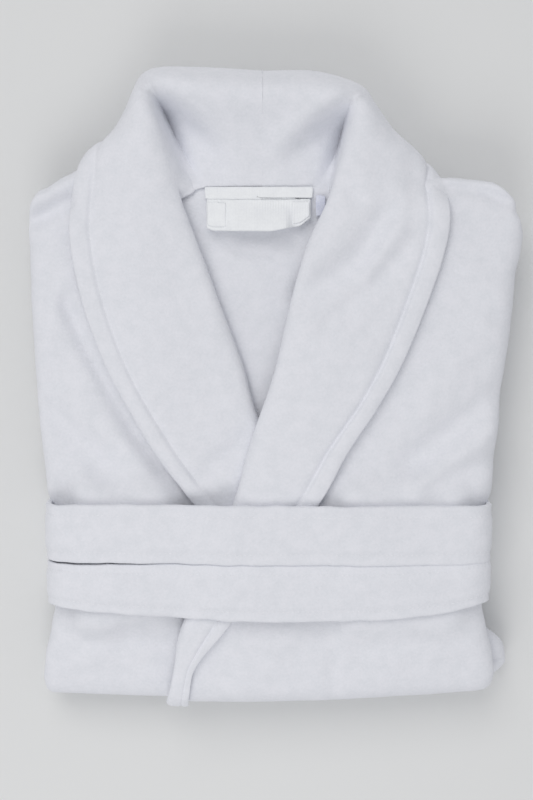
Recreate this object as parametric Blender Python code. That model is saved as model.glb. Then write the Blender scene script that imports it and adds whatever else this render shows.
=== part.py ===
"""A shawl-collar bathrobe, folded flat on its back and tied with its own sash.

Every sewn piece is a closed solid where it lies in the folded stack: two fronts and a back that fold in
three, flattened sleeves, a doubled collar in halves, pockets, loops, label, and the sash in two turns.
Sizes are in millimetres until a mesh is made. X runs across the robe, +Y to its collar, +Z up.
"""

import math

import bmesh
import bpy
from mathutils import Vector

MM = 0.001

# Driving sizes of the folded robe
HALF_LENGTH = 266.0
HALF_SHOULDER = 210.0
HALF_WAIST = 180.5
SHOULDER_Y = 160.0
FOOT_TURN_Y = -233.6
HEAD_TURN_Y = 140.0
SASH_WIDTH = 50.0
SASH_THICK = 6.0
CLOTH = 4.5
BACK_CLOTH = 4.0
FACING_CLOTH = 4.0
UNDER_CLOTH = 3.5
CLEAR = 0.6
COLLAR_MIDDLE = -11.0
HEM_Y = -100.0
NECK_FALL = 83.0
EDGE_REST = 2.3
FRONT_EDGE_TUCK = 9.0

# The outline flares from the waist to the shoulders, and the stack thins to its sides and its foot
FLARE_START_Y = -90.0
FLARE_LENGTH = 200.0
SIDE_THINNING = 0.14
FOOT_THINNING = 0.18
FOOT_SLOPE_LENGTH = 170.0

# Heights of the stack, floor to top
SASH_UNDER = SASH_THICK / 2
POCKET_UNDER = 8.4
POCKET_CLOTH = 2.5
LEFT_UNDER = POCKET_UNDER + POCKET_CLOTH + CLEAR + CLOTH / 2
RIGHT_UNDER = LEFT_UNDER + CLOTH + CLEAR
BACK_UNDER = RIGHT_UNDER + (CLOTH + BACK_CLOTH) / 2 + CLEAR
BACK_FOLD_GAP = 1.8
BACK_TUCK = BACK_UNDER + BACK_CLOTH + BACK_FOLD_GAP
RIGHT_TUCK = BACK_TUCK + (CLOTH + BACK_CLOTH) / 2 + CLEAR
LEFT_TUCK = RIGHT_TUCK + CLOTH + CLEAR
SLEEVE_FLOOR = LEFT_TUCK + CLOTH / 2 + CLEAR
SLEEVE_THICK = 11.0
BACK_TOP = SLEEVE_FLOOR + SLEEVE_THICK + CLEAR + BACK_CLOTH / 2
RIGHT_TOP = BACK_TOP + (CLOTH + BACK_CLOTH) / 2 + CLEAR
COLLAR_DEPTH = CLEAR + UNDER_CLOTH + CLEAR + FACING_CLOTH
RIGHT_FACING = RIGHT_TOP + CLOTH / 2 + COLLAR_DEPTH - FACING_CLOTH / 2
LEFT_TOP = RIGHT_FACING + FACING_CLOTH / 2 + CLEAR + CLOTH / 2
LEFT_FACING = LEFT_TOP + CLOTH / 2 + COLLAR_DEPTH - FACING_CLOTH / 2
SASH_TOP = LEFT_FACING + FACING_CLOTH / 2 + CLEAR + SASH_THICK / 2
NECK_SEAM_Z = BACK_TOP + BACK_CLOTH / 2 + CLEAR + FACING_CLOTH / 2

# The sash: its two turns, the bend at each corner, the crossing beneath and the tucked ends
TURN_GAP = 1.0
UPPER_TURN_Y = -120.5
LOWER_TURN_Y = UPPER_TURN_Y - SASH_WIDTH - TURN_GAP
SASH_BEND = 10.0
CROSSING_X = 110.0
TUCKED_END_X = 128.0

# The collar: how far the hidden seam lies below and beside the roll, and the shares of its width
SEAM_BELOW = 5.0
SEAM_BESIDE = 3.0
STAND_SHARE = 0.3
MIDDLE_SHARE = 0.65
UNDER_FROM_ROLL = 10.0
UNDER_FROM_EDGE = 1.5

# Small pieces: lowest and highest X, then lowest and highest Y, on the wearer's left
SLEEVE = (14, 158, -128.4, 152)
CUFF = (12, 160, -190, -129)
BELT_LOOP = (165, 173, -178, -108)
BELT_LOOP_LIFT = 3.0
BELT_LOOP_CLOTH = 2.0
POCKET = (28, 172, -228, -66)
NECK_TAPE = (-53, 37, 158.5, 163)
NECK_TAPE_CLOTH = 1.4
CARE_LABEL = (38.5, 47, 141, 158)
CARE_LABEL_CLOTH = 0.8
HANGER_LOOP = (-52, 34, 128, 157)
HANGER_LOOP_CLOTH = 1.6
HANGER_LOOP_BASE = 1.0
HANGER_LOOP_RISE = 7.0


def smooth(t):
    """0 below 0, 1 above 1, and an easy curve between."""
    t = min(max(t, 0.0), 1.0)
    return t * t * (3 - 2 * t)


def between(a, b, t):
    return a + (b - a) * t


def half_width(y):
    """Half the folded width: the shoulders are wider than the tied waist."""
    return between(HALF_WAIST, HALF_SHOULDER, smooth((y - FLARE_START_Y) / FLARE_LENGTH))


def settle(p):
    """The stack is full height along its middle, and thins to its sides and to its foot."""
    side = 1 - SIDE_THINNING * (p.x / HALF_SHOULDER) ** 2
    past_sash = UPPER_TURN_Y + SASH_WIDTH / 2 - p.y
    foot = 1 - FOOT_THINNING * smooth(past_sash / FOOT_SLOPE_LENGTH)
    return Vector((p.x, p.y, p.z * side * foot))


def material(name, rgb, rough=0.95):
    m = bpy.data.materials.new(name)
    m.use_nodes = True
    shader = m.node_tree.nodes["Principled BSDF"]
    shader.inputs["Base Color"].default_value = (*rgb, 1)
    shader.inputs["Roughness"].default_value = rough
    m.diffuse_color = (*rgb, 1)
    return m


def new_object(name, bm, finish):
    bm.normal_update()
    mesh = bpy.data.meshes.new(name)
    bm.to_mesh(mesh)
    bm.free()
    mesh.materials.append(finish)
    piece = bpy.data.objects.new(name, mesh)
    bpy.context.scene.collection.objects.link(piece)
    return piece


def cloth(name, surface, across, along, thick, finish):
    """A sheet of even thickness about surface(u, v), with u across it and v along it, both 0 to 1."""
    bm = bmesh.new()
    bmesh.ops.create_grid(bm, x_segments=across, y_segments=along, size=0.5)
    for v in bm.verts:
        v.co = surface(v.co.x + 0.5, v.co.y + 0.5)
    bm.normal_update()
    for v in bm.verts:
        v.co += v.normal * thick / 2
    bmesh.ops.solidify(bm, geom=bm.faces[:], thickness=thick)
    bmesh.ops.recalc_face_normals(bm, faces=bm.faces[:])
    for v in bm.verts:
        v.co = settle(v.co) * MM
    return new_object(name, bm, finish)


def half_turn(y, low, high, side, steps=9):
    """Points of a half circle in Y and Z between two heights; side is the way that it bulges."""
    r, mid = (high - low) / 2, (high + low) / 2
    angles = [math.pi / 2 - math.pi * i / steps for i in range(steps + 1)]
    return [Vector((0, y + side * r * math.cos(a), mid + r * math.sin(a))) for a in angles]


def level(y0, y1, z, steps):
    return [Vector((0, between(y0, y1, i / steps), z)) for i in range(steps)]


def folded_route(top, under, tuck):
    """One panel's way through the stack: down the top, round the foot, back beneath, and tucked in."""
    way = level(SHOULDER_Y, FOOT_TURN_Y, top, 16)
    way += half_turn(FOOT_TURN_Y, under, top, -1)
    way += level(FOOT_TURN_Y, HEAD_TURN_Y, under, 14)[1:]
    way += reversed(half_turn(HEAD_TURN_Y, under, tuck, 1, steps=6))
    way += level(HEAD_TURN_Y, HEM_Y, tuck, 8)[1:]
    way.append(Vector((0, HEM_Y, tuck)))
    return way


# The collar's stations, wearer's left, from the foot of the lapel to the centre back: the roll line,
# the middle of the fall, its outer edge, and the neck seam. None takes the height of a flat lapel.
LAPEL_STATIONS = [
    ((-84, -228), (-70, -229), (-56, -230), None),
    ((-71, -190), (-54, -190), (-37, -190), None),
    ((-30, -96), (5, -97), (41, -98), None),
    ((-10, -22), (42, -17), (93, -12), None),
    ((6, 38), (66, 44), (126, 50), 4.0),
    ((17, 74), (78, 82), (139, 91), 4.0),
    ((29, 115), (90, 122), (149, 130), 4.0),
    ((42, 147), (95, 149), (150, 151), 4.0),
]
NECK_STATIONS = [
    ((50, 168, 0), (104, 172, 0), (150, 173, 0), (46, 160)),
    ((57, 185, 0), (126, 190, -20), (141, 177, -34), (48, 163)),
    ((66, 214, 0), (110, 220, -30), (118, 171, -62), (43, 165)),
    ((71, 238, -2), (92, 246, -34), (98, 171, -76), (36, 166)),
    ((60, 252, -8), (70, 259, -40), (76, 171, -82), (28, 166)),
    ((34, 258, -14), (40, 263, -44), (44, 171, -83), (14, 166)),
    ((8, 260, -18), (10, 264, -46), (12, 171, -83), (0, 166)),
    ((-10.7, 260, -19), (-10.7, 264, -46), (-10.7, 171, -83), (-10.7, 166)),
]


def collar_sections(height, seam_z):
    """Each station's four points, neck seam to outer edge, for a lapel that lies at height."""
    sections = []
    for roll, middle, edge, drop in LAPEL_STATIONS:
        low = height - SEAM_BELOW if drop is None else seam_z + drop
        roll = Vector((*roll, height))
        seam = Vector((roll.x + SEAM_BESIDE, roll.y, low))
        sections.append((seam, roll, Vector((*middle, height)), Vector((*edge, height))))
    for roll, middle, edge, seam in NECK_STATIONS:
        lift = Vector((0, 0, height))
        # The fall's outer edge comes down to the same floor from either lapel's height.
        ease = (height - EDGE_REST) / NECK_FALL
        points = [Vector((p[0], p[1], p[2] * ease)) + lift for p in (roll, middle, edge)]
        sections.append((Vector((*seam, seam_z)), *points))
    return sections


def through(values, t):
    """A smooth curve through values, t from 0 to 1."""
    last = len(values) - 1
    at = min(max(t, 0.0), 1.0) * last
    i = min(int(at), last - 1)
    f = at - i
    a, b = values[max(i - 1, 0)], values[i]
    c, d = values[i + 1], values[min(i + 2, last)]
    straight = b.lerp(c, f)
    bend = (c - a) * 0.5 * f * (1 - f) * (1 - f) - (d - b) * 0.5 * f * f * (1 - f)
    pull = (c - b) * (f * (1 - f) * (1 - f) - f * f * (1 - f))
    return straight + bend - pull


def collar_point(columns, u, v):
    """u runs up the stand from the neck seam to the roll line, and then over the fall to its edge."""
    seam, roll, middle, edge = (through(c, v) for c in columns)
    if u < STAND_SHARE:
        return seam.lerp(roll, u / STAND_SHARE)
    if u < MIDDLE_SHARE:
        return roll.lerp(middle, (u - STAND_SHARE) / (MIDDLE_SHARE - STAND_SHARE))
    return middle.lerp(edge, (u - MIDDLE_SHARE) / (1 - MIDDLE_SHARE))


def under_sections(sections):
    """The under collar's two edges: close below a flat lapel, and inside the collar's fold at the neck."""
    below = Vector((0, 0, -(FACING_CLOTH + UNDER_CLOTH) / 2 - CLEAR))
    edges = []
    turn = len(LAPEL_STATIONS)
    for i, (_, roll, _, edge) in enumerate(sections):
        whole = (edge - roll).length
        start, stop, drop = UNDER_FROM_ROLL / whole, 1 - UNDER_FROM_EDGE / whole, 1.0
        if i > turn + 1:
            start, stop, drop = 0.2, 0.8, 0.0
        if i in (turn, turn + 1):
            # Round the shoulder the fall dips between stations, so the under collar keeps further in.
            start, stop, drop = 0.25, 0.72, 1.5 + (i - turn)
        edges.append(tuple(roll.lerp(edge, t) + drop * below for t in (start, stop)))
    return edges


def collar(side, height, finish):
    """The facing that shows, and the under collar sewn inside it, for one side of the robe."""
    sections = collar_sections(height, NECK_SEAM_Z)
    columns = list(zip(*sections))
    under_columns = list(zip(*under_sections(sections)))
    left = side == "left"

    def placed(p):
        return p if left else Vector((2 * COLLAR_MIDDLE - p.x, p.y, p.z))

    def facing(u, v):
        return placed(collar_point(columns, u if left else 1 - u, v))

    def under(u, v):
        inner, outer = (through(c, v) for c in under_columns)
        return placed(inner.lerp(outer, u if left else 1 - u))

    cloth(f"collar_facing_{side}", facing, 20, 34, FACING_CLOTH, finish)
    cloth(f"under_collar_{side}", under, 8, 34, UNDER_CLOTH, finish)


def front_edge(y):
    """Where the wearer's left front ends, hidden beneath its lapel."""
    rolls = [Vector((*s[0], 0)) for s in LAPEL_STATIONS]
    rolls += [Vector((s[0][0], s[0][1], 0)) for s in NECK_STATIONS[:1]]
    if y <= rolls[0].y:
        return rolls[0].x + FRONT_EDGE_TUCK
    for a, b in zip(rolls, rolls[1:]):
        if y <= b.y:
            return between(a.x, b.x, (y - a.y) / (b.y - a.y)) + FRONT_EDGE_TUCK
    return rolls[-1].x + FRONT_EDGE_TUCK


def front(side, top, under, tuck, finish):
    """A front panel, from its shoulder to its hem, folded in three."""
    route = folded_route(top, under, tuck)
    steps = len(route) - 1

    def surface(u, v):
        p = route[round(v * steps)]
        inner = front_edge(p.y if v < 0.4 else -HALF_LENGTH)
        outer = half_width(p.y) - 0.5
        if side == "left":
            return Vector((between(inner, outer, u), p.y, p.z))
        return Vector((between(-outer, 2 * COLLAR_MIDDLE - inner, u), p.y, p.z))

    cloth(f"front_{side}", surface, 7, steps, CLOTH, finish)


def back_panel(finish):
    route = folded_route(BACK_TOP, BACK_UNDER, BACK_TUCK)
    steps = len(route) - 1

    def surface(u, v):
        p = route[round(v * steps)]
        wide = half_width(p.y) - 0.5
        return Vector((between(-wide, wide, u), p.y, p.z))

    cloth("back_panel", surface, 8, steps, BACK_CLOTH, finish)


def block(name, outline, floor, thick, finish, steps=(4, 6)):
    """A plain flat solid on a floor height, cut finely enough to follow the stack."""
    x0, x1, y0, y1 = outline

    def surface(u, v):
        return Vector((between(x0, x1, u), between(y0, y1, v), floor + thick / 2))

    return cloth(name, surface, steps[0], steps[1], thick, finish)


def mirrored(name, outline, floor, thick, finish, steps=(4, 6)):
    """The same block on the wearer's left and right."""
    x0, x1, y0, y1 = outline
    block(f"{name}_left", (x0, x1, y0, y1), floor, thick, finish, steps)
    block(f"{name}_right", (-x1, -x0, y0, y1), floor, thick, finish, steps)


def sash_route():
    """Two turns round the stack, side by side, with the crossing beneath and both ends tucked there."""
    reach = HALF_WAIST + 2 * CLEAR + SASH_THICK / 2
    bend = SASH_BEND
    corners = [
        (-1, SASH_UNDER + bend, -90, -180),
        (-1, SASH_TOP - bend, 180, 90),
        (1, SASH_TOP - bend, 90, 0),
        (1, SASH_UNDER + bend, 0, -90),
    ]

    def over(turn_y):
        way = []
        for side, z, a0, a1 in corners:
            for i in range(5):
                a = math.radians(between(a0, a1, i / 4))
                x = side * (reach - bend) + bend * math.cos(a)
                way.append(Vector((x, turn_y, z + bend * math.sin(a))))
            if (side, z) == (corners[1][0], corners[1][1]):
                span = reach - bend
                way += [Vector((between(-span, span, i / 12), turn_y, SASH_TOP)) for i in range(1, 12)]
        return way

    crossing = []
    for i in range(13):
        t = i / 12
        y = between(UPPER_TURN_Y, LOWER_TURN_Y, smooth(t))
        crossing.append(Vector((between(CROSSING_X, -CROSSING_X, t), y, SASH_UNDER)))
    start = [Vector((-TUCKED_END_X, UPPER_TURN_Y, SASH_UNDER))]
    end = [Vector((TUCKED_END_X, LOWER_TURN_Y, SASH_UNDER))]
    return start + over(UPPER_TURN_Y) + crossing + over(LOWER_TURN_Y) + end


def sash(finish):
    route = sash_route()
    steps = len(route) - 1

    def surface(u, v):
        p = route[round(v * steps)]
        return Vector((p.x, p.y + between(-0.5, 0.5, u) * SASH_WIDTH, p.z))

    cloth("belt", surface, 2, steps, SASH_THICK, finish)


def hanger_loop(finish):
    """A flat tape sewn at both ends to the neck seam, standing off the back far enough for a hook."""
    x0, x1, y0, y1 = HANGER_LOOP
    base = BACK_TOP + BACK_CLOTH / 2 + CLEAR + HANGER_LOOP_BASE

    def surface(u, v):
        lift = HANGER_LOOP_RISE * smooth(min(u, 1 - u) / 0.2)
        return Vector((between(x0, x1, u), between(y0, y1, v), base + lift))

    cloth("hanger_loop", surface, 14, 3, HANGER_LOOP_CLOTH, finish)


def main():
    for old in list(bpy.data.objects):
        bpy.data.objects.remove(old, do_unlink=True)
    terry = material("white_terry", (0.88, 0.89, 0.90))
    lining = material("white_tape", (0.92, 0.92, 0.93), 0.8)
    front("left", LEFT_TOP, LEFT_UNDER, LEFT_TUCK, terry)
    front("right", RIGHT_TOP, RIGHT_UNDER, RIGHT_TUCK, terry)
    back_panel(terry)
    mirrored("sleeve", SLEEVE, SLEEVE_FLOOR, SLEEVE_THICK, terry)
    mirrored("cuff", CUFF, SLEEVE_FLOOR, SLEEVE_THICK, terry)
    mirrored("belt_loop", BELT_LOOP, SLEEVE_FLOOR + BELT_LOOP_LIFT, BELT_LOOP_CLOTH, terry, (1, 4))
    mirrored("pocket", POCKET, POCKET_UNDER, POCKET_CLOTH, terry)
    collar("left", LEFT_FACING, terry)
    collar("right", RIGHT_FACING, terry)
    on_back = BACK_TOP + BACK_CLOTH / 2 + CLEAR
    block("neck_tape", NECK_TAPE, on_back, NECK_TAPE_CLOTH, lining, (6, 1))
    block("care_label", CARE_LABEL, on_back, CARE_LABEL_CLOTH, lining, (1, 2))
    hanger_loop(lining)
    sash(terry)


main()
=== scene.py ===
# %% [markdown]
# # A white terry bathrobe, folded flat and tied with its own sash
# The robe lies on its back: two fronts folded over a back, a shawl collar that rolls from the crossing at
# the waist up to the neck, a hanging loop inside the neck, and a sash wound twice round the bundle. The
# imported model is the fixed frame, and each piece of cloth is made around it, so everything starts by
# loading that.

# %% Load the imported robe
import math

import bmesh
import bpy
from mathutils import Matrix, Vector, noise


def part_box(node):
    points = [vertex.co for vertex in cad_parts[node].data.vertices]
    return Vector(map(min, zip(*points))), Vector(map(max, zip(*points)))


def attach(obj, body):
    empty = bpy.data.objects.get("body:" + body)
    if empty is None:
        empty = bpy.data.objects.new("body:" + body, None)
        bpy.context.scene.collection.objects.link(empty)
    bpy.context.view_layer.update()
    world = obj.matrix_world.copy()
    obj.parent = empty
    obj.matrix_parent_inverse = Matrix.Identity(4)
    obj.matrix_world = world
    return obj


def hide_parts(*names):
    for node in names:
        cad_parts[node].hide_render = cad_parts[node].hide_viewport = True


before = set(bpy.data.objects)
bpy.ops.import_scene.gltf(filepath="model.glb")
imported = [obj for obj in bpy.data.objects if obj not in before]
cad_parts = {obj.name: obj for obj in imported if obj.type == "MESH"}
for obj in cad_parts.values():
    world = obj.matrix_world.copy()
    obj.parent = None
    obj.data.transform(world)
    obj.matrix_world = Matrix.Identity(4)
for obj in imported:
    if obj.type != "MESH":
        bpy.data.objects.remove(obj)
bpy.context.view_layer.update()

MM = 0.001

# %% [markdown]
# Sizes are in millimetres until a mesh is finished. The heights of the stack are read from the frame's own
# pieces, because every layer of cloth lies on the one beneath. Only the cloth's thickness is a new value:
# terry of 400 g/m2 is 4 to 5 mm thick with its pile.

# %% Heights of the stack, read from the frame
CLOTH = 4.5
COLLAR_CLOTH = 6.2
CLEAR = 0.6


def corners(node):
    """A piece's lowest and highest corner, in millimetres."""
    low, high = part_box(node)
    return low / MM, high / MM


SASH_TOP = corners("belt")[1].z
LEFT_LAPEL_TOP = corners("collar_facing_left")[1].z
RIGHT_LAPEL_TOP = corners("collar_facing_right")[1].z
LEFT_TOP = corners("front_left")[1].z - CLOTH / 2
RIGHT_TOP = corners("front_right")[1].z - CLOTH / 2
BACK_TOP = corners("back_panel")[1].z - CLOTH / 2
SASH_THICK = SASH_TOP - LEFT_LAPEL_TOP - CLEAR
HALF_SHOULDER = corners("front_left")[1].x
print("tops", [round(z, 1) for z in (BACK_TOP, RIGHT_TOP, LEFT_TOP, LEFT_LAPEL_TOP, SASH_TOP)])

# %% [markdown]
# A soft stack is highest along its middle and thins towards its sides and its foot. It also ripples: a
# crease in one layer shows through the next. Both are one function that every point goes through, so
# neighbouring layers move together. It does not stop them meeting: turned edges, tucked hems and the
# underside of the sash still cut into their neighbours in places, mostly out of sight.


# %% Curves and the lie of the stack
def smooth(t):
    """0 below 0, 1 above 1, and an easy curve between."""
    t = min(max(t, 0.0), 1.0)
    return t * t * (3 - 2 * t)


def between(a, b, t):
    return a + (b - a) * t


def through(values, t):
    """A smooth curve through evenly spaced values, with t from 0 to 1."""
    last = len(values) - 1
    at = min(max(t, 0.0), 1.0) * last
    i = min(int(at), last - 1)
    f = at - i
    a, b, c, d = values[max(i - 1, 0)], values[i], values[i + 1], values[min(i + 2, last)]
    bend = (c - a) * 0.5 * f * (1 - f) * (1 - f) - (d - b) * 0.5 * f * f * (1 - f)
    pull = (c - b) * (f * (1 - f) * (1 - f) - f * f * (1 - f))
    return b + (c - b) * f + bend - pull


def guide(points, at):
    """Reads a smooth curve given as (place, value) pairs in order of place."""
    if at <= points[0][0]:
        return points[0][1]
    for (p, a), (q, b) in zip(points, points[1:]):
        if at <= q:
            return between(a, b, smooth((at - p) / (q - p)) * 0.5 + 0.5 * (at - p) / (q - p))
    return points[-1][1]


SIDE_THINNING = 0.14
FOOT_THINNING = 0.18
SASH_UPPER_EDGE = corners("belt")[1].y
FOOT_SLOPE = 170.0

# Creases: half width, height above or below the cloth, and the places each one runs through.
CREASES = [
    (11, -6.0, (120, -62), (188, -6)), (9, -5.4, (138, -86), (196, -54)), (13, 2.0, (60, -90), (130, -16)),
    (9, 3.4, (126, -76), (188, -34)), (5, -3.4, (186, 60), (212, 57)), (16, 2.2, (128, -20), (176, 50)),
    (12, 2.4, (168, 96), (206, 60)), (4.5, -6.5, (146, 166), (177, 163), (208, 150)),
    (7, 2.5, (152, 173), (176, 171), (198, 163)),
    (10, -5.0, (-182, -20), (-126, -84)), (11, 3.0, (-160, -10), (-108, -62)),
    (4, -3.4, (-203, 90), (-186, 92)), (6, -9.0, (-197, 138), (-164, 156)),
    (9, 3.0, (-192, 158), (-160, 174)), (12, 2.4, (-190, 20), (-170, 90)),
    (6, -6.5, (-169, 72), (-155, 40), (-134, 0), (-108, -44), (-80, -82)),
    (11, -6.4, (96, 146), (74, 108), (30, 78)), (8, -4.0, (112, 116), (86, 86), (46, 56)),
    (7, 3.0, (104, 132), (80, 96)), (12, 3.4, (58, 126), (30, 104)), (18, 3.0, (28, 60), (78, 34)),
    (8, -4.0, (62, 172), (70, 158)), (9, -3.0, (118, 184), (122, 130)),
    (9, -4.4, (-52, -70), (-20, -42)), (9, 2.6, (-64, -86), (-34, -74)), (20, 2.4, (-110, 120), (-96, 40)),
    (9, -6.5, (-120, -206), (-84, -201)), (12, -3.0, (-124, -224), (-88, -208)),
    (10, 2.2, (-165, -234), (-110, -226)), (4, -2.4, (54, -205), (56, -276)),
    (10, -3.0, (20, -228), (44, -206)),
    (12, 2.2, (-20, -250), (20, -226)), (14, 2.0, (100, -232), (170, -222)),
    (9, 5.0, (56, 240), (10, 204)), (8, -3.5, (52, 218), (18, 190)), (4, -2.6, (2, 180), (36, 185)),
    (10, -2.5, (-66, 214), (-40, 186)),
    (4, -2.6, (-42, 124), (-26, 114), (-12, 111), (4, 113), (20, 122)),
    (3.5, 2.0, (-40, 117), (-24, 107), (-12, 104), (2, 106), (16, 115)),
]


def creases(x, y):
    """How far the cloth at a place stands above its flat height."""
    rise = 0.0
    for wide, high, *line in CREASES:
        away = 3.0
        for (x0, y0), (x1, y1) in zip(line, line[1:]):
            dx, dy = x1 - x0, y1 - y0
            along = min(max(((x - x0) * dx + (y - y0) * dy) / (dx * dx + dy * dy), 0.0), 1.0)
            away = min(away, math.hypot(x - x0 - along * dx, y - y0 - along * dy) / wide)
        if away < 3:
            rise += high * math.exp(-away * away)
    return rise


def lay(p):
    """Settles a point of the flat stack: thinner to the sides and foot, rippled on top."""
    top = smooth((p.z - 34) / 22)
    side = 1 - SIDE_THINNING * (p.x / HALF_SHOULDER) ** 2
    foot = 1 - FOOT_THINNING * smooth((SASH_UPPER_EDGE - p.y) / FOOT_SLOPE)
    full = 4.0 * smooth((-50 - p.x) / 60) * smooth((p.y + 280) / 60)
    swell = 2.4 * noise.noise(Vector((p.x, p.y, 0)) / 70) + 0.8 * noise.noise(Vector((p.x, p.y, 9)) / 24)
    return Vector((p.x, p.y, p.z * side * foot + top * (full + swell + creases(p.x, p.y))))


print("lapel top at the middle", lay(Vector((0, 0, LEFT_LAPEL_TOP))).z)
print("front near its side", lay(Vector((180, 0, LEFT_TOP))).z)

# %% [markdown]
# White cotton terry velour is woven with loops that are sheared into a short, dense pile. It is matt, its
# fibre tips catch light at a glancing angle, and the pile lies in small tufts. The tufts are about 1 mm
# across, too fine to show, so they are drawn 2 to 3 mm across. The material is a Principled surface with a
# little sheen, two sizes of noise for the tufts' height, and a very slight change of white from clump to
# clump.


# %% Helpers for finishes
def linear(code):
    """An sRGB hex colour as the linear values that a shader takes."""
    values = [int(code[i:i + 2], 16) / 255 for i in (0, 2, 4)]
    return (*(c / 12.92 if c <= 0.04045 else ((c + 0.055) / 1.055) ** 2.4 for c in values), 1.0)


def add_node(tree, kind, links=(), **settings):
    """Adds a node, sets its values and inputs by name, and links its inputs: (input, node, output)."""
    node = tree.nodes.new(kind)
    for key, value in settings.items():
        if hasattr(node, key):
            setattr(node, key, value)
        else:
            node.inputs[key.replace("_", " ")].default_value = value
    for into, other, out in links:
        tree.links.new(other.outputs[out], node.inputs[into])
    return node


def cotton(name, light, dark, tuft_mm, depth_mm, rough, sheen, weave=0.0):
    """A matt cotton: tufts of a size in mm, their depth, and the colours of their tips and roots."""
    finish = bpy.data.materials.new(name)
    finish.use_nodes = True
    tree = finish.node_tree
    shader = tree.nodes["Principled BSDF"]
    place = add_node(tree, "ShaderNodeTexCoord")
    tufts = add_node(tree, "ShaderNodeTexNoise", [("Vector", place, "Object")],
                     Scale=1 / (tuft_mm * MM), Detail=3.0, Roughness=0.55)
    clumps = add_node(tree, "ShaderNodeTexNoise", [("Vector", place, "Object")],
                      Scale=1 / (5 * tuft_mm * MM), Detail=2.0, Roughness=0.5)
    mixed = add_node(tree, "ShaderNodeMath", [(0, tufts, "Fac"), (1, clumps, "Fac")], operation="ADD")
    halved = add_node(tree, "ShaderNodeMath", [(0, mixed, "Value")], operation="MULTIPLY")
    halved.inputs[1].default_value = 0.5
    tone = add_node(tree, "ShaderNodeValToRGB", [("Fac", halved, "Value")])
    tone.color_ramp.elements[0].position = 0.36
    tone.color_ramp.elements[0].color = linear(dark)
    tone.color_ramp.elements[1].position = 0.62
    tone.color_ramp.elements[1].color = linear(light)
    height = halved
    if weave:
        threads = add_node(tree, "ShaderNodeTexWave", [("Vector", place, "Object")],
                           Scale=0.314 / (weave * MM), Distortion=0.4)
        threads.bands_direction = "X"
        height = add_node(tree, "ShaderNodeMath", [(0, halved, "Value"), (1, threads, "Fac")],
                          operation="ADD")
    bump = add_node(tree, "ShaderNodeBump", [("Height", height, "Value")],
                    Strength=0.8, Distance=depth_mm * MM)
    tree.links.new(tone.outputs["Color"], shader.inputs["Base Color"])
    tree.links.new(bump.outputs["Normal"], shader.inputs["Normal"])
    shader.inputs["Roughness"].default_value = rough
    shader.inputs["Sheen Weight"].default_value = sheen
    shader.inputs["Sheen Roughness"].default_value = 0.6
    shader.inputs["Specular IOR Level"].default_value = 0.2
    return finish


terry = cotton("cotton terry velour, white, sheared pile", "EBECF2", "E4E6EC", 2.2, 0.8, 0.95, 0.2)
lining = cotton("woven cotton tape, white", "F6F8FA", "F0F2F5", 1.6, 0.1, 0.85, 0.1, weave=2.2)
satin = cotton("satin label, blank", "E9ECF8", "D5D9EC", 1.5, 0.1, 0.45, 0.0)
thread = cotton("cotton sewing thread, white", "F6F7FA", "F0F1F4", 0.8, 0.1, 0.8, 0.0)
for node_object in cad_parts.values():
    node_object.data.materials.clear()
    node_object.data.materials.append(terry)
print("finishes", [m.name for m in (terry, lining, satin, thread)])

# %% [markdown]
# Every piece of cloth starts as a grid that is bent into place, thickened with solidify, and softened with
# one level of subdivision, which also rounds its cut edges. The upper side may swell a little between
# seams. A sewn edge is never quite straight, so a small fixed noise moves the points.


# %% Make a piece of cloth
def piece_from(name, bm, finish, subdivide=1):
    """Turns a bmesh in millimetres into a finished object at the origin."""
    bmesh.ops.scale(bm, vec=(MM, MM, MM), verts=bm.verts[:])
    mesh = bpy.data.meshes.new(name)
    bm.to_mesh(mesh)
    bm.free()
    mesh.shade_smooth()
    mesh.materials.append(finish)
    obj = bpy.data.objects.new(name, mesh)
    bpy.context.scene.collection.objects.link(obj)
    if subdivide:
        soft = obj.modifiers.new("soften", "SUBSURF")
        soft.levels = soft.render_levels = subdivide
    return obj


def cloth(name, surface, across, along, thick, finish, puff=None, flip=False, uneven=0.35, settled=True,
          sharp_end=False):
    """A sheet about surface(u, v), u across and v along. Returns the object and its upper points by place."""
    bm = bmesh.new()
    bmesh.ops.create_grid(bm, x_segments=across, y_segments=along, size=0.5)
    place = {}
    for vert in bm.verts:
        place[vert] = (round((vert.co.x + 0.5) * across), round((vert.co.y + 0.5) * along))
        vert.co = surface(place[vert][0] / across, place[vert][1] / along)
    if flip:
        bmesh.ops.reverse_faces(bm, faces=bm.faces[:])
    bm.normal_update()
    up = {vert: vert.normal.copy() for vert in place}
    for vert in place:
        vert.co += up[vert] * thick / 2
    bmesh.ops.solidify(bm, geom=bm.faces[:], thickness=thick)
    # Solidify overshoots where a fold is tight, so the lower side is set straight beneath the upper one.
    bm.verts.ensure_lookup_table()
    for i, vert in enumerate(place):
        bm.verts[len(place) + i].co = vert.co - up[vert] * thick
    bmesh.ops.recalc_face_normals(bm, faces=bm.faces[:])
    if puff:
        for vert, (i, j) in place.items():
            vert.co += up[vert] * puff(i / across, j / along)
    for vert in bm.verts:
        vert.co += Vector((noise.noise(vert.co / 9), noise.noise(vert.co / 9 + Vector((40, 0, 0))),
                           noise.noise(vert.co / 7 + Vector((0, 40, 0))))) * uneven
        if settled:
            vert.co = lay(vert.co)
    if sharp_end:
        crease = bm.edges.layers.float.new("crease_edge")
        ends = {vert for vert, (_, j) in place.items() if j == along}
        ends |= {bm.verts[len(place) + i] for i, vert in enumerate(place) if vert in ends}
        for edge in bm.edges:
            if edge.verts[0] in ends and edge.verts[1] in ends:
                edge[crease] = 1.0
    upper = {at: (vert.co.copy(), up[vert].copy()) for vert, at in place.items()}
    print(name, len(bm.faces), "faces before softening")
    return piece_from(name, bm, finish), upper


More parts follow.
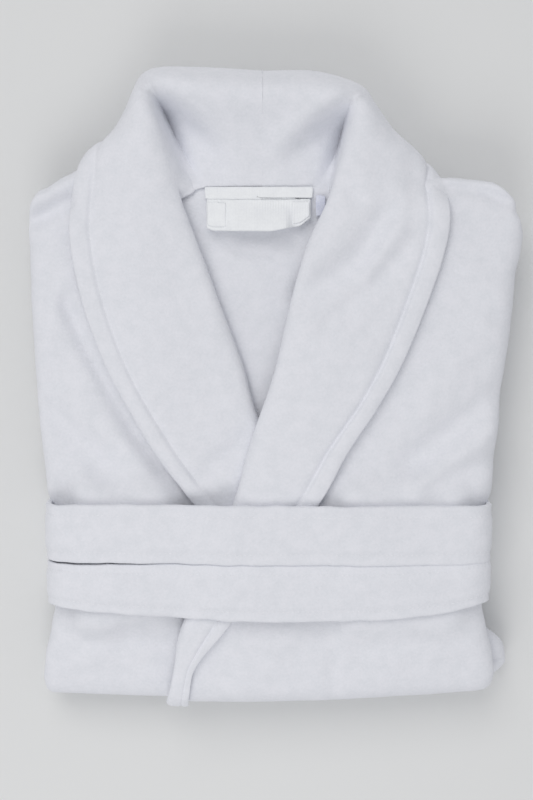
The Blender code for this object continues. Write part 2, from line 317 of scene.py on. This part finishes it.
# %% [markdown]
# A front panel is one long piece of cloth. It starts behind the shoulder, rolls over it, runs down the top
# of the stack, turns at the foot, comes back beneath, turns again at the head and is tucked in. Its side
# wraps round the layers inside it. So the panel is a route in Y and Z with a direction that points inwards,
# and the side fold goes down along that direction, which keeps the corners of the bundle soft and closed.


# %% The way a panel runs through the stack
SQUARENESS = 0.77
SHOULDER_ROLL = 13.0
SHOULDER_LAP = 26.0
FOOT_TURN_Y = -250.0
FOOT_BULGE = 25.0
HEAD_TURN_Y = 140.0
HEM_Y = -96.0


def turn(y, low, high, bulge, steps):
    """Half a squarish ellipse from high to low; bulge is how far it stands out, and its sign the way."""
    way = []
    for i in range(steps + 1):
        c, s = math.sin(math.pi * i / steps), math.cos(math.pi * i / steps)
        reach = math.copysign(abs(s) ** SQUARENESS, s) if i not in (0, steps) else s
        way.append((y + bulge * abs(c) ** SQUARENESS, between(low, high, (reach + 1) / 2)))
    return way


def run(y0, y1, z, steps):
    return [(between(y0, y1, i / steps), z) for i in range(1, steps)]


def panel_route(shoulder_y, top, under, tuck):
    """(y, z, inward y, inward z, share of the side fold) from the shoulder to the tucked hem."""
    low = top - SHOULDER_LAP
    way = [(95.0, low)] + run(95, shoulder_y, low, 8)
    shares = [0.0] * len(way)
    rolled = turn(shoulder_y, low, top, SHOULDER_ROLL, 10)[::-1]
    way += rolled
    shares += [0.35 * smooth(i / 10) for i in range(len(rolled))]
    down = run(shoulder_y, FOOT_TURN_Y, top, 76)
    way += down
    shares += [between(0.35, 1.0, smooth(i / 6)) for i in range(len(down))]
    foot = turn(FOOT_TURN_Y, under, top, -FOOT_BULGE, 18)
    way += foot
    shares += [1.0 - 0.45 * math.sin(math.pi * i / 18) for i in range(len(foot))]
    back = run(FOOT_TURN_Y, HEAD_TURN_Y, under, 40)
    way += back
    shares += [1.0] * len(back)
    head = turn(HEAD_TURN_Y, under, tuck, 12.0, 8)[::-1]
    head = [(y, z) for y, z in sorted(head, key=lambda p: p[1])]
    way += head
    shares += [0.35 * (1 - smooth(i / 8)) for i in range(len(head))]
    hem = run(HEAD_TURN_Y, HEM_Y, tuck, 14) + [(HEM_Y, tuck)]
    way += hem
    shares += [0.0] * len(hem)
    route = []
    for i, (y, z) in enumerate(way):
        a, b = way[max(i - 1, 0)], way[min(i + 1, len(way) - 1)]
        dy, dz = b[0] - a[0], b[1] - a[1]
        size = math.hypot(dy, dz)
        route.append((y, z, -dz / size, dy / size, shares[i]))
    return route


# (Y, half width) down each side; (X, shift along Y) of the foot and of the shoulder.
LEFT_SIDE = [(-290, 193), (-262, 195), (-240, 193), (-208, 187), (-188, 183), (-104, 182), (-86, 189),
             (-71, 190), (-11, 195), (57, 203), (96, 206), (112, 210), (128, 212), (142, 209), (150, 204),
             (158, 205), (165, 198), (172, 187), (177, 174)]
RIGHT_SIDE = [(-290, 192), (-262, 195), (-240, 193), (-208, 187), (-188, 183), (-104, 182), (-88, 188),
              (-11, 195), (82, 199), (140, 200), (156, 198), (166, 190), (178, 172)]
LEFT_FOOT = [(-89, 2.5), (-16, 2.5), (54, 3.5), (81, 5.5), (134, 8.0), (175, 11.0), (202, 14.0)]
RIGHT_FOOT = [(-202, 9.0), (-190, 7.5), (-87, 5.0), (60, 4.0)]
LEFT_HEAD = [(150, 1.0), (205, -4.0)]
RIGHT_HEAD = [(-205, -8.0), (-185, 1.0), (-168, 11.0), (-150, 20.0), (-120, 22.0)]
print("a front's route has", len(panel_route(150, LEFT_TOP, 13.75, 39.5)), "rows")

# %% [markdown]
# The two fronts are mirror twins at different heights, because the wearer's left laps over the right. Their
# inner edges hide beneath the lapels, so each edge follows its lapel's roll line a little way in. The sash
# lies flat over the thick lapels, so beside them the fronts swell up to meet it.

# %% The fronts
# Roll line and outer edge of each lapel, from the foot of the robe up to the shoulder.
LEFT_LAPEL = [
    ((-87, -283), (-67, -283)), ((-84, -262), (-66, -261)), ((-79, -237), (-60, -236)),
    ((-74, -205), (-34, -203)), ((-52, -148), (2, -150)), ((-29, -91), (43, -95)),
    ((-19, -53), (68, -50)), ((-8, -20), (93, -12)), ((4, 17), (113, 25)), ((17, 74), (134, 78)),
    ((30, 119), (147, 120)), ((46, 153), (149, 150)),
]
RIGHT_LAPEL = [
    ((56, -228), (34, -232)), ((46, -190), (6, -193)), ((20, -100), (-62, -99)), ((4, -50), (-92, -60)),
    ((-10, -16), (-116, -20)), ((-20, 20), (-134, 14)), ((-36, 63), (-151, 58)), ((-52, 107), (-162, 104)),
    ((-67, 146), (-165, 143)),
]
EDGE_BENEATH = 13.0
RETURN_LEG = 22.0
FLAT_COLUMNS, FOLD_COLUMNS, RETURN_COLUMNS = 34, 9, 3
COLUMNS = FLAT_COLUMNS + FOLD_COLUMNS + RETURN_COLUMNS
INNER_EDGE_BENEATH_Y = -262
# The route's first rows are on top, up to the middle of the foot turn.
TOP_ROWS = 106
# At the wearer's left foot corner the lower half of the fold shows past the upper one.
LOWER_FOLD_BULGE = 14.0


def roll_x(lapel, y):
    """Where a lapel's roll line is at a height of the robe."""
    line = sorted((roll[1], roll[0]) for roll, _ in lapel)
    return guide(line, y)


def under_sash(x, y, sign):
    """How far a front swells up to meet the sash, beside the lapels."""
    near = smooth((-62 - y) / 30) * smooth((y + 224) / 28) * smooth((172 - abs(x)) / 16)
    return near * (8.6 * smooth((x - 50) / 20) if sign > 0 else 16.0 * smooth((-66 - x) / 24))


def front(name, sign, lapel, side, foot_shift, head_shift, shoulder_y, top, under, tuck, side_depth):
    """sign is 1 for the wearer's left. The side fold goes side_depth into the stack."""
    route = panel_route(shoulder_y, top, under, tuck)
    rows = len(route) - 1

    def surface(u, v):
        y, z, in_y, in_z, share = route[round(v * rows)]
        on_top = round(v * rows) < TOP_ROWS
        inner = roll_x(lapel, y if on_top else INNER_EDGE_BENEATH_Y) + sign * EDGE_BENEATH
        inset = 0 if on_top or share > 0.6 else 6
        outer = sign * (guide(side, y) - CLOTH / 2 - inset)
        if sign > 0 and not on_top:
            outer += LOWER_FOLD_BULGE * smooth((y + 276) / 10) * smooth((-218 - y) / 20)
        depth = side_depth if on_top else tuck - under + 2
        r = depth * share / 2
        i = round(u * COLUMNS)
        if i <= FLAT_COLUMNS:
            x, d = between(inner, outer - sign * r, i / FLAT_COLUMNS), 0.0
        elif i <= FLAT_COLUMNS + FOLD_COLUMNS:
            a = math.pi * (i - FLAT_COLUMNS) / FOLD_COLUMNS
            x, d = outer - sign * r * (1 - math.sin(a)), r * (1 - math.cos(a))
        else:
            t = (i - FLAT_COLUMNS - FOLD_COLUMNS) / RETURN_COLUMNS
            x, d = outer - sign * (r + t * RETURN_LEG), 2 * r
        if on_top:
            z += under_sash(x, y, sign)
        y += guide(foot_shift, x) * smooth((-190 - y) / 70) + guide(head_shift, x) * smooth((y - 110) / 45)
        return Vector((x, y + in_y * d, z + in_z * d))

    obj, _ = cloth(name, surface, COLUMNS, rows, CLOTH, terry, flip=sign > 0)
    return obj


front_left = front("robe_front_left", 1, LEFT_LAPEL, LEFT_SIDE, LEFT_FOOT, LEFT_HEAD,
                   shoulder_y=158, top=LEFT_TOP, under=13.8, tuck=39.4, side_depth=27)
front_right = front("robe_front_right", -1, RIGHT_LAPEL, RIGHT_SIDE, RIGHT_FOOT, RIGHT_HEAD,
                    shoulder_y=150, top=RIGHT_TOP, under=18.9, tuck=34.3, side_depth=18)
for obj, node in ((front_left, "front_left"), (front_right, "front_right")):
    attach(obj, "robe")
    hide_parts(node)

# %% [markdown]
# The back is a plain panel between the fronts and the folded sleeves. Only the neck hollow shows it, where
# it dips below the hanging loop, so it needs no side folds.


# %% The back
BACK_INSET = 16.0
BACK_CLOTH = 4.0
BACK_SHOULDER_Y = 160
LOOP_DIP = 4.5
BACK_FOOT_Y = -262


def back_surface(u, v):
    y, z, _, _, _ = BACK_ROUTE[round(v * (len(BACK_ROUTE) - 1))]
    wide = guide(RIGHT_SIDE, y) - BACK_INSET
    x = between(-wide, wide, u)
    if z > BACK_TOP - 1:
        below = math.hypot((x + 8) / 40, (y - 124) / 11)
        z -= LOOP_DIP * math.exp(-below * below)
        y -= 14 * smooth((abs(x) - 46) / 30) * smooth((y - 130) / 20)
    return Vector((x, y, z))


BACK_ROUTE = [(max(y, BACK_FOOT_Y), z, a, b, c)
              for y, z, a, b, c in panel_route(BACK_SHOULDER_Y, BACK_TOP, 24.2, 29.5)]
back, _ = cloth("robe_back", back_surface, 56, len(BACK_ROUTE) - 1, BACK_CLOTH, terry, flip=True)
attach(back, "robe")
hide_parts("back_panel")

# %% [markdown]
# The shawl collar is the robe's thickest piece: two layers of terry sewn along the outer edge and
# topstitched 17 mm in, so its rim stands up as a soft cord beyond the stitching. It rolls over along its
# inner edge, and at the neck it stands up and falls behind. Each half is a sheet through stations, and each
# station is a curve from the seam, up the stand, over the roll and out to the edge.

# %% The collar
# Neck stations: seam, stand, roll, over the roll, brow, fall and outer edge.
LEFT_NECK = [
    ((50, 162, 57), (56, 171, 64), (61, 184, 77), (66, 188, 82),
     (84, 191, 82), (120, 187, 70), (138, 176, 46)),
    ((46, 163, 57), (61, 191, 42), (68, 212, 71), (73, 216, 79),
     (84, 216, 78), (101, 209, 58), (112, 176, 26)),
    ((40, 164, 57), (62, 212, 26), (70, 231, 66), (74, 234, 75),
     (80, 233, 71), (86, 228, 48), (93, 174, 10)),
    ((31, 164, 57), (50, 216, 46), (61, 236, 68), (66, 242, 73),
     (71, 244, 63), (73, 242, 40), (77, 171, 4)),
    ((15, 164, 57), (20, 200, 58), (30, 230, 71), (34, 243, 75),
     (37, 251, 64), (38, 252, 42), (44, 170, 3)),
    ((-5.25, 164, 57), (-5.25, 200, 58), (-5.25, 229, 71), (-5.25, 242, 75), (-5.25, 251, 65),
     (-5.25, 252, 42), (-5.25, 170, 3)),
]
RIGHT_NECK = [
    ((-62, 161, 57), (-72, 170, 60), (-83, 183, 69), (-89, 187, 74), (-106, 190, 75), (-136, 190, 68),
     (-154, 186, 56)),
    ((-60, 163, 57), (-78, 192, 46), (-91, 211, 67), (-96, 215, 74), (-106, 217, 73), (-123, 212, 56),
     (-136, 196, 32)),
    ((-54, 164, 57), (-84, 221, 22), (-98, 238, 62), (-102, 241, 71), (-106, 241, 67), (-110, 236, 42),
     (-112, 186, 12)),
    ((-46, 164, 57), (-72, 223, 40), (-87, 247, 66), (-91, 253, 69),
     (-94, 256, 60), (-96, 253, 40), (-94, 171, 4)),
    ((-26, 164, 57), (-36, 203, 58), (-54, 235, 71), (-56, 246, 75),
     (-56, 254, 64), (-56, 255, 42), (-56, 170, 3)),
    ((-4.75, 164, 57), (-4.75, 200, 58), (-4.75, 229, 71), (-4.75, 242, 75), (-4.75, 251, 65),
     (-4.75, 252, 42), (-4.75, 170, 3)),
]
# Columns, by distance from the outer edge: close together round the topstitched groove 17 mm in.
EDGE_STEPS = (0, 1.6, 3.8, 6.4, 9.2, 11.8, 13.8, 15.5, 17.0, 18.5, 20.2, 22.6, 26.0, 30.5)
GROOVE = 17.0
INNER_COLUMNS = 28
ACROSS = INNER_COLUMNS + len(EDGE_STEPS) - 1
COLLAR_ROWS = 120
EDGE_LIFT = 2.2     # the free outer edge stands off the front
RIGHT_LIFT = 3.0    # the right half lies higher where the left front doesn't cover it
RIM_PUFF, BODY_PUFF = 1.5, 1.6
SEAM_THINNING = 2.6


def lapel_station(roll, edge, top):
    """The curve across a lapel that lies flat: tucked seam, roll, and out to the edge."""
    out = Vector((edge[0] - roll[0], edge[1] - roll[1], 0))
    wide = out.length
    out.normalize()
    start = Vector((*roll, 0))
    mid = top - COLLAR_CLOTH / 2
    fold = min(1.0, wide / 55)
    places = ((15, -6.8), (8, -6.8), (3.1, -3.4), (8, 0), (20, 0.4), (wide * 0.55, 0.4), (wide - 1.5, -0.4))
    return [start + out * (a * (fold if i < 5 else 1)) + Vector((0, 0, mid + z))
            for i, (a, z) in enumerate(places)]


def wrap_foot(p):
    """Past the foot turn, cloth that lies on the left front goes round the turn with it."""
    past = FOOT_TURN_Y - p.y
    if past <= 0 or p.z < 40:
        return p
    a = min(past / FOOT_BULGE / 1.35, math.pi / 2)
    out = p.z - LEFT_TOP
    y = FOOT_TURN_Y + 2.5 * smooth(past / 25) - (FOOT_BULGE + out * 0.5) * math.sin(a) ** SQUARENESS
    z = LEFT_TOP - 30 + (30 + out) * math.cos(a) ** SQUARENESS
    return Vector((p.x, y, z))


def across_collar(columns, v):
    """One row of the collar: its points from seam to edge, and each one's distance from the edge."""
    controls = [through(c, v) for c in columns]
    fine = [through(controls, 1 - k / 90) for k in range(91)]
    away = [0.0]
    for a, b in zip(fine, fine[1:]):
        away.append(away[-1] + (b - a).length)
    scale = min(1.0, (controls[-1] - controls[2]).length / 48)
    wanted = [step * scale for step in EDGE_STEPS]
    rest = away[-1] - wanted[-1]
    wanted += [wanted[-1] + rest * (i + 1) / INNER_COLUMNS for i in range(INNER_COLUMNS)]
    points, k = [], 0
    for want in wanted:
        while k < len(away) - 2 and away[k + 1] < want:
            k += 1
        points.append(fine[k].lerp(fine[k + 1], (want - away[k]) / (away[k + 1] - away[k])))
    return points[::-1], wanted[::-1], scale


def collar(name, lapel, neck, top, side_name, flip):
    """One half of the collar; the right half lies lower, and rises where the left front doesn't cover it."""
    stations = [lapel_station(roll, edge, top) for roll, edge in lapel]
    stations += [[Vector(p) for p in row] for row in neck]
    columns = list(zip(*stations))
    rows = []
    for j in range(COLLAR_ROWS + 1):
        # The last rows lie close together, so the seam at the centre back stays a fine line.
        v = j / (COLLAR_ROWS - 2) * 0.994 if j < COLLAR_ROWS - 1 else 1 - (COLLAR_ROWS - j) * 0.003
        rows.append(across_collar(columns, v))

    def surface(u, v):
        points, away, _ = rows[round(v * COLLAR_ROWS)]
        i = round(u * ACROSS)
        p = points[i].copy()
        free = smooth((p.y + 100) / 30) * smooth((190 - p.y) / 60)
        p.z += EDGE_LIFT * free * smooth((32 - away[i]) / 32)
        if flip:
            p.z += RIGHT_LIFT * smooth((-10 - p.x) / 60) * smooth((200 - p.y) / 40)
        return wrap_foot(p)

    def puff(u, v):
        points, away, scale = rows[round(v * COLLAR_ROWS)]
        at = away[round(u * ACROSS)]
        from_seam = away[0] - at
        d = at / scale
        y = points[-1].y
        groove = math.exp(-((d - GROOVE) / 2.0) ** 2)
        rim = smooth(d / 6) * smooth((GROOVE - d) / 4)
        body = smooth((d - GROOVE) / 9) * smooth((from_seam - 12) / 20)
        pressed = 1 - 0.6 * smooth((-70 - y) / 25) * smooth((y + 215) / 25)
        deep = 1.0 if flip else 2.4
        tucked = SEAM_THINNING * smooth((10 - from_seam) / 7)
        return scale * pressed * (RIM_PUFF * rim + BODY_PUFF * body - deep * groove) - tucked

    obj, upper = cloth(name, surface, ACROSS, COLLAR_ROWS, COLLAR_CLOTH, terry, puff=puff, flip=flip,
                       sharp_end=True)
    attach(obj, "robe")
    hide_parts(f"collar_facing_{side_name}", f"under_collar_{side_name}")
    return obj, upper


collar_left, left_points = collar("collar_left", LEFT_LAPEL, LEFT_NECK, LEFT_LAPEL_TOP - 1.0, "left", False)
collar_right, right_points = collar("collar_right", RIGHT_LAPEL, RIGHT_NECK, RIGHT_LAPEL_TOP - 1.0,
                                    "right", True)

# %% [markdown]
# The sash is a flat tube of terry, 50 mm wide, pressed and stitched along both edges. It goes twice round
# the bundle, side by side on top, crosses beneath, and its ends are tucked in there. It is modelled
# directly along its route, because a remesh would erase a strap this thin.

# %% The sash
SASH_WIDTH = 50.0
SASH_REACH = corners("belt")[1].x - SASH_THICK / 2 + 0.4
SASH_UNDER = SASH_THICK / 2
TOP_BEND, LOW_BEND = 17.0, 10.0
BEND_STEPS = 6
END_REACH = 128      # where the sash's short ends stop, beneath the bundle


def sash_height(x):
    """The middle of the sash's thickness as it lies over the stack, flat."""
    return SASH_TOP - SASH_THICK / 2 - 5.0 * smooth((-30 - x) / 60)


def sash_turn(number):
    """One turn: up the wearer's right side, over the top, and down the left side."""
    way = []
    for side, start, stop in ((-1, -90, -180), (-1, 180, 90), (1, 90, 0), (1, 0, -90)):
        bend = TOP_BEND if start in (180, 90) and stop in (90, 0) else LOW_BEND
        high = sash_height(side * 170) if bend == TOP_BEND else SASH_UNDER + 2 * LOW_BEND
        for i in range(BEND_STEPS + 1):
            a = math.radians(between(start, stop, i / BEND_STEPS))
            x = side * (SASH_REACH - bend) + bend * math.cos(a)
            way.append((x, high - bend + bend * math.sin(a), number))
        if (side, stop) == (-1, 180) or (side, start) == (1, 90):
            x = side * SASH_REACH
            lower, upper = SASH_UNDER + LOW_BEND, sash_height(side * 170) - TOP_BEND
            steps = [(x, between(lower, upper, i / 7), number) for i in range(1, 7)]
            way += steps if side < 0 else steps[::-1]
        if (side, stop) == (-1, 90):
            span = SASH_REACH - TOP_BEND
            way += [(x, sash_height(x), number) for x in [between(-span, span, i / 60) for i in range(1, 60)]]
    return way


def sash_route():
    way = [(between(-END_REACH, -150, i / 5), SASH_UNDER, 0.0) for i in range(5)]
    way += sash_turn(0.0)
    way += [(between(150, -150, i / 30), SASH_UNDER, smooth(i / 30)) for i in range(31)]
    way += sash_turn(1.0)
    return way + [(between(150, END_REACH, i / 5), SASH_UNDER, 1.0) for i in range(1, 6)]


SASH_ROUTE = sash_route()
UPPER_EDGES = [(-190, -95.5, -144.5), (-100, -94, -144.5), (0, -94.5, -145.5), (100, -95, -146.5),
               (190, -96, -146)]
LOWER_EDGES = [(-190, -145.8, -182), (-150, -146, -187), (-90, -144.5, -192), (0, -144.5, -195.5),
               (90, -145.2, -194.5), (140, -144.5, -190), (190, -139, -180)]


def sash_edges(x, number):
    """The sash's two edges at a place across the robe: turn 0 is the upper one, turn 1 the lower."""
    upper, lower = ([guide([(row[0], row[k]) for row in rows], x) for k in (1, 2)]
                    for rows in (UPPER_EDGES, LOWER_EDGES))
    return [between(a, b, number) for a, b in zip(upper, lower)]


def sash_surface(u, v):
    x, z, number = SASH_ROUTE[round(v * (len(SASH_ROUTE) - 1))]
    head, foot = sash_edges(x, number)
    wave = 1.0 * noise.noise(Vector((x / 14, (number + u) * 3, 0)))
    tilt = -2.2 * number * smooth(1 - u / 0.3) if z > 40 else 0.0
    return Vector((x, between(head, foot, u) + wave, z + tilt))


def sash_puff(u, v):
    from_edge = min(u, 1 - u) * SASH_WIDTH
    return 0.9 * smooth(from_edge / 14) - 1.5 * math.exp(-((from_edge - 8) / 2.0) ** 2)


SASH_COLUMNS = 16
sash, sash_points = cloth("sash", sash_surface, SASH_COLUMNS, len(SASH_ROUTE) - 1, SASH_THICK - 1.2, terry,
                          puff=sash_puff)
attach(sash, "sash")
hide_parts("belt")

# %% [markdown]
# Inside the neck a woven tape covers the seam, a wide hanging loop hangs from it, doubled at its two ends
# by sewn tabs, and a small blank label is caught beside it. The loop's lower edge stands off the back, so a
# hook can pass behind.


# %% Neck tape, hanging loop and label
def neck_tape_surface(u, v):
    return Vector((between(-53, 37, u), between(156.8, 167, v), BACK_TOP + 6.9 - 3.4 * v))


def loop_surface(u, v):
    x = between(-52, 35, u)
    low = guide([(-52, 133), (-46, 130.5), (0, 130), (25, 134), (35, 141)], x)
    y = between(157.6, low, v)
    middle = smooth((x + 36) / 8) * smooth((21 - x) / 8)
    lift = between(1.4 + 4.0 * v, 1.2 + 9.4 * smooth(v * 1.05), middle)
    return Vector((x, y, BACK_TOP + 3.4 + lift))


def tab_surface(x0, x1):
    def surface(u, v):
        p = loop_surface((between(x0, x1, u) + 52) / 87, between(0.13, 0.88, v))
        return Vector((p.x, p.y, p.z + 1.5))
    return surface


def label_surface(u, v):
    x, y = between(38.5, 47, u), between(160, 143, v)
    return Vector((x, y, BACK_TOP + 3.6 + 3.2 * v * (1 - u * 0.4)))


tape, _ = cloth("neck_seam_tape", neck_tape_surface, 30, 4, 1.4, lining, uneven=0.2)
loop, _ = cloth("hanging_loop", loop_surface, 34, 14, 2.2, lining, flip=True, uneven=0.25)
tab_left, _ = cloth("loop_tab_left", tab_surface(-51, -35), 8, 12, 1.6, lining, flip=True, uneven=0.2)
tab_right, _ = cloth("loop_tab_right", tab_surface(19, 34), 8, 12, 1.6, lining, flip=True, uneven=0.2)
label, _ = cloth("blank_label", label_surface, 6, 10, 0.7, satin, flip=True, uneven=0.1)
for obj, body, slot, node in ((tape, "robe", "tape", "neck_tape"), (loop, "hanger", "tape", "hanger_loop"),
                              (tab_left, "hanger", "tape", None), (tab_right, "hanger", "tape", None),
                              (label, "label", "label", "care_label")):
    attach(obj, body)
    if node:
        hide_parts(node)

# %% [markdown]
# The sleeves lie flattened on the back between the layers, with their turned-up cuffs towards the foot. The
# patch pockets and the belt loops are sewn on beneath. Each is a flattened shape with rounded sides, a
# shade smaller than the frame's solid.


# %% Sleeves, cuffs, pockets and belt loops
FLAT_STEP = 9.0
SEWN_LOSS = 1.5


def flat_piece(name, node, thick, inset=2.5):
    """A soft flat piece in the space of the frame's solid, a little thinner than it."""
    low, high = corners(node)
    across = max(round((high.x - low.x) / FLAT_STEP), 3)
    along = max(round((high.y - low.y) / FLAT_STEP), 3)

    def height(x, y):
        crown = 1 - SIDE_THINNING * (x / HALF_SHOULDER) ** 2
        foot = 1 - FOOT_THINNING * smooth((SASH_UPPER_EDGE - y) / FOOT_SLOPE)
        return crown * foot

    nearest = min(abs(low.x), abs(high.x))
    base = (high.z - thick / 2) / height(nearest, high.y if high.y < 0 else 0)

    def surface(u, v):
        x, y = between(low.x + inset, high.x - inset, u), between(low.y + inset, high.y - inset, v)
        return Vector((x, y, base * height(x, y)))

    obj, _ = cloth(name, surface, across, along, thick - SEWN_LOSS, terry, uneven=0.2, settled=False)
    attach(obj, "robe")
    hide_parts(node)


for side_name in ("left", "right"):
    flat_piece(f"sleeve_{side_name}_tube", f"sleeve_{side_name}", 11)
    flat_piece(f"cuff_{side_name}_turnup", f"cuff_{side_name}", 11)
    flat_piece(f"pocket_{side_name}_patch", f"pocket_{side_name}", 2.5, inset=1.0)
    flat_piece(f"belt_loop_{side_name}_strip", f"belt_loop_{side_name}", 2.0, inset=0.5)

# %% [markdown]
# Stitches are short dashes of thread, nearly 3 mm long, that sit in the grooves of the lapels and the sash.
# Each is a small rounded bar turned along its seam and pulled almost level with the pile.


# %% Topstitching
DASH_LENGTH, DASH_WIDTH, DASH_GAP = 2.8, 0.5, 1.4
PROUD = 0.1


def stitches(name, line, body):
    """A row of thread dashes along a line of (place, upward) pairs."""
    bm = bmesh.new()
    travelled, due = 0.0, 0.0
    for (a, up_a), (b, _) in zip(line, line[1:]):
        step = (b - a).length
        while step > 0 and due < travelled + step:
            at = a.lerp(b, (due - travelled) / step) + up_a * PROUD
            made = bmesh.ops.create_icosphere(bm, subdivisions=1, radius=0.5)["verts"]
            bmesh.ops.scale(bm, vec=(DASH_LENGTH, DASH_WIDTH, DASH_WIDTH), verts=made)
            turned = (b - a).to_track_quat("X", "Z").to_matrix()
            bmesh.ops.rotate(bm, cent=(0, 0, 0), matrix=turned, verts=made)
            bmesh.ops.translate(bm, vec=at, verts=made)
            due += DASH_LENGTH + DASH_GAP
        travelled += step
    obj = piece_from(name, bm, thread, subdivide=0)
    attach(obj, body)
    return obj


def column(points, i, rows):
    return [points[i, j] for j in rows if (i, j) in points]


topstitched = ACROSS - EDGE_STEPS.index(GROOVE)
stitches("lapel_stitching_left", column(left_points, topstitched, range(16, 84)), "robe")
stitches("lapel_stitching_right", column(right_points, topstitched, range(16, 78)), "robe")
stitches("sash_stitching_upper", column(sash_points, 3, range(0, 400)), "sash")
stitches("sash_stitching_lower", column(sash_points, 13, range(0, 400)), "sash")

# %% [markdown]
# The robe lies on a plain pale table. A broad soft light stands beyond the collar, a little to the left,
# and a weaker one near the foot keeps the table even; the rest is a bright room. The camera looks almost
# straight down, tipped 6 degrees from the collar's side.

# %% Table, lights and camera
TABLE_HALF = 3000
TABLE_TOP = -0.6
bm = bmesh.new()
bmesh.ops.create_grid(bm, x_segments=8, y_segments=8, size=TABLE_HALF)
bmesh.ops.translate(bm, vec=(0, 0, TABLE_TOP), verts=bm.verts[:])
table_finish = bpy.data.materials.new("matt painted board, pale grey")
table_finish.use_nodes = True
board = table_finish.node_tree.nodes["Principled BSDF"]
board.inputs["Base Color"].default_value = linear("E4E5E5")
board.inputs["Roughness"].default_value = 0.9
table = piece_from("table", bm, table_finish, subdivide=0)

TARGET = Vector((-1.7, -11.5, 45.0))
DISTANCE = 1250.0
TIP = math.radians(6)
camera_data = bpy.data.cameras.new("camera")
camera_data.lens = 66.4
camera_data.sensor_width = 36
camera = bpy.data.objects.new("camera", camera_data)
camera.location = (TARGET + Vector((0, math.sin(TIP), math.cos(TIP))) * DISTANCE) * MM
camera.rotation_euler = (-TIP, 0, 0)
bpy.context.scene.collection.objects.link(camera)
bpy.context.scene.camera = camera


def soft_light(name, place, size, watts, colour):
    """A square light panel that faces the middle of the robe."""
    data = bpy.data.lights.new(name, "AREA")
    data.size = size
    data.energy = watts
    data.color = linear(colour)[:3]
    lamp = bpy.data.objects.new(name, data)
    lamp.location = place
    lamp.rotation_euler = (-Vector(place)).to_track_quat("-Z", "Y").to_euler()
    bpy.context.scene.collection.objects.link(lamp)


soft_light("window", (-0.8, 2.2, 3.0), 2.2, 40, "FFFDFA")
soft_light("fill", (-0.3, -1.2, 1.5), 1.1, 8, "FFFEFC")
world = bpy.data.worlds.new("bright room")
world.use_nodes = True
world.node_tree.nodes["Background"].inputs["Color"].default_value = linear("F6F7FA")
world.node_tree.nodes["Background"].inputs["Strength"].default_value = 0.54
bpy.context.scene.world = world
bpy.context.scene.view_settings.view_transform = "Standard"
print("camera at", [round(c, 3) for c in camera.location])
